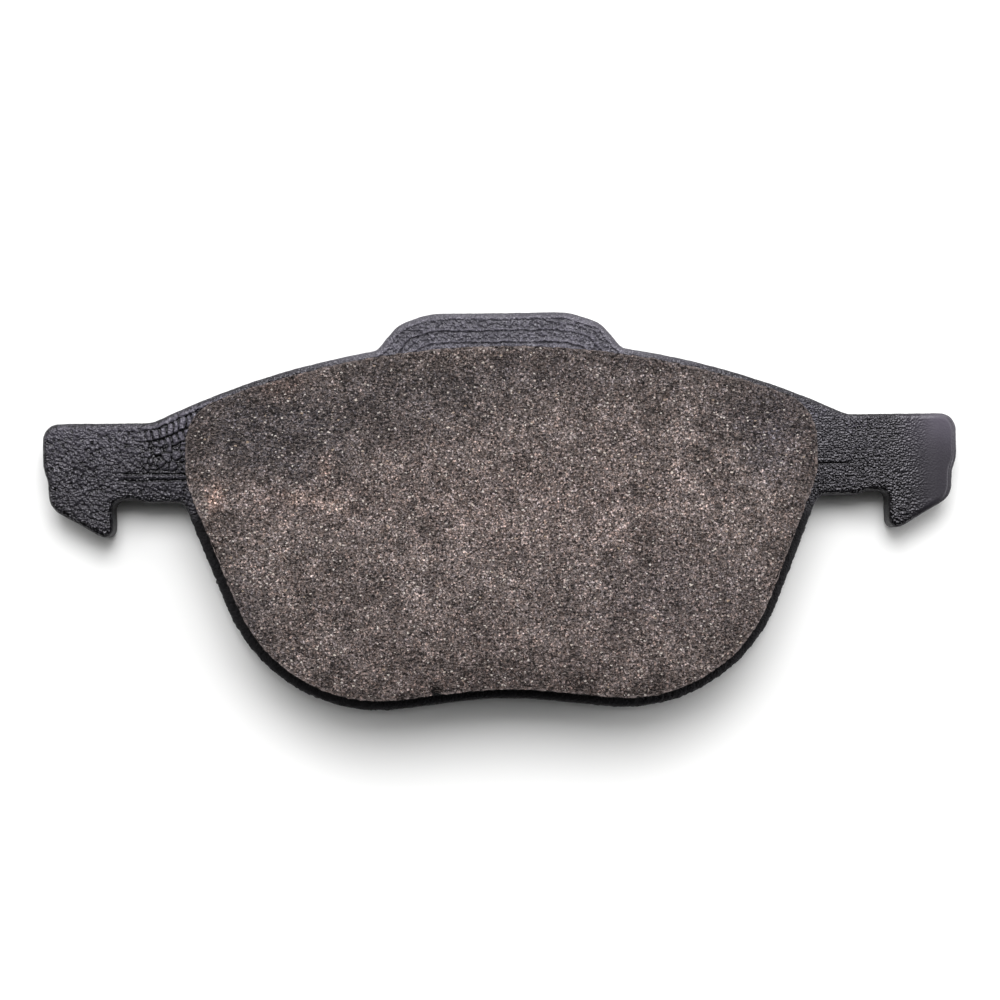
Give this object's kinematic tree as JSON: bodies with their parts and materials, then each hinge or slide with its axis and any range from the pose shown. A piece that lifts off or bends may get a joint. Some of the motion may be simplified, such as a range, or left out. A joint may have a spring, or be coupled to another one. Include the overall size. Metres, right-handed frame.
{
  "type": "disc brake pad",
  "caption": "Outboard disc brake pad: steel plate with hook-ended ears and a raised tab, moulded friction lining, and a rubber-skinned noise shim.",
  "frame": {"origin": "middle of the pad's outline, on the back face of the shim", "axes": "+X along the pad, +Y outward from the wheel's centre, +Z from the caliper's fingers to the disc"},
  "size_m": [0.1552, 0.0672, 0.018],
  "materials": {
    "powder_coated_steel": "semi-gloss black powder coat with a wrinkled surface",
    "cured_adhesive": "cured phenolic film",
    "underlayer_compound": "dark, coarse and matte",
    "friction_compound": "matte, granular, with pale flecks",
    "contact_adhesive": "thin pressure-sensitive film",
    "shim_rubber": "satin rubber coating",
    "shim_steel": "cold-rolled strip, cut edge"
  },
  "bodies": {
    "root": {"backing_plate": "powder_coated_steel", "bond_film": "cured_adhesive", "underlayer": "underlayer_compound", "friction_lining": "friction_compound", "shim_adhesive": "contact_adhesive", "shim_inner_rubber": "shim_rubber", "shim_steel_core": "shim_steel", "shim_outer_rubber": "shim_rubber"}
  },
  "joints": []
}
